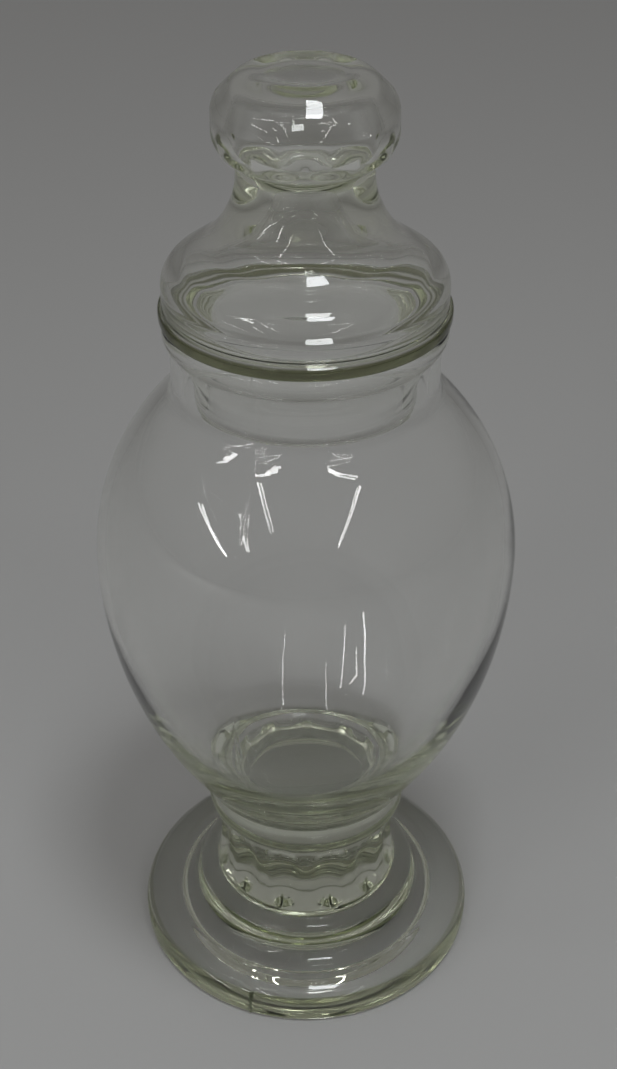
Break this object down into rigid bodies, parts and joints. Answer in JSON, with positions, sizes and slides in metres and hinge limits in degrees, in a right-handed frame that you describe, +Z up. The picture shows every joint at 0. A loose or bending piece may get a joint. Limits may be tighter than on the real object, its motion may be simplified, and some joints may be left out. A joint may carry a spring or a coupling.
{
  "type": "lidded glass canister",
  "caption": "Footed clear glass storage jar with a bulging bowl, a panelled collar and a drop-in domed lid with a hollow panelled knob.",
  "frame": {"origin": "centre of the foot's resting face", "axes": "+Z up along the canister's axis, from the foot to the knob; the panels of collar and knob repeat every 30 degrees about it, with a ridge between two panels facing -Y"},
  "size_m": [0.124, 0.124, 0.292],
  "materials": {
    "jar_glass": "clear soda-lime glass, smooth, faint green-grey tint where it is thick",
    "lid_glass": "clear soda-lime glass, smooth, faint green-grey tint where it is thick"
  },
  "bodies": {
    "jar": {"jar": "jar_glass"},
    "lid": {"lid": "lid_glass"}
  },
  "joints": [
    {"name": "lid_lift", "type": "slide", "parent": "jar", "child": "lid", "axis": [0, 0, 1], "range_m": [0, 0.08]}
  ]
}
